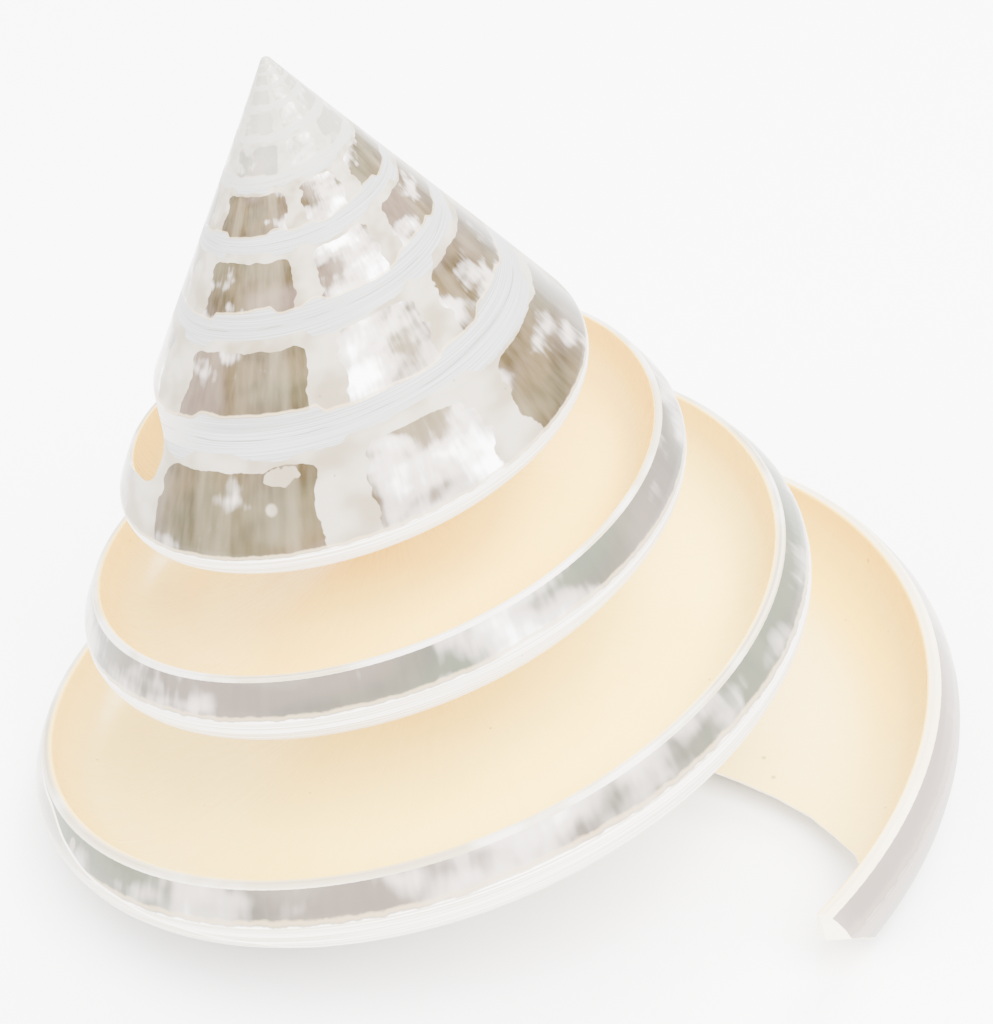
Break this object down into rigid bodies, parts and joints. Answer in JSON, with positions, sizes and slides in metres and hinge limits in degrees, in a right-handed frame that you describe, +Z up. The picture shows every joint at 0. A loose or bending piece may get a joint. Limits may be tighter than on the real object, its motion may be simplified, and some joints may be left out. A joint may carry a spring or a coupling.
{
  "type": "top shell",
  "caption": "Pearly top shell, polished to its nacre and cut open along the spiral, with bare cream floors around an intact spire",
  "frame": {"origin": "centre of the bounding box in plan, on the ground", "axes": "+Z up, +X to the side where the last whorl is widest, +Y away from the viewer"},
  "size_m": [0.069, 0.066, 0.0602],
  "materials": {
    "nacre": "polished mother-of-pearl, cream on the floors"
  },
  "bodies": {
    "root": {"top_shell": "nacre"}
  },
  "joints": []
}
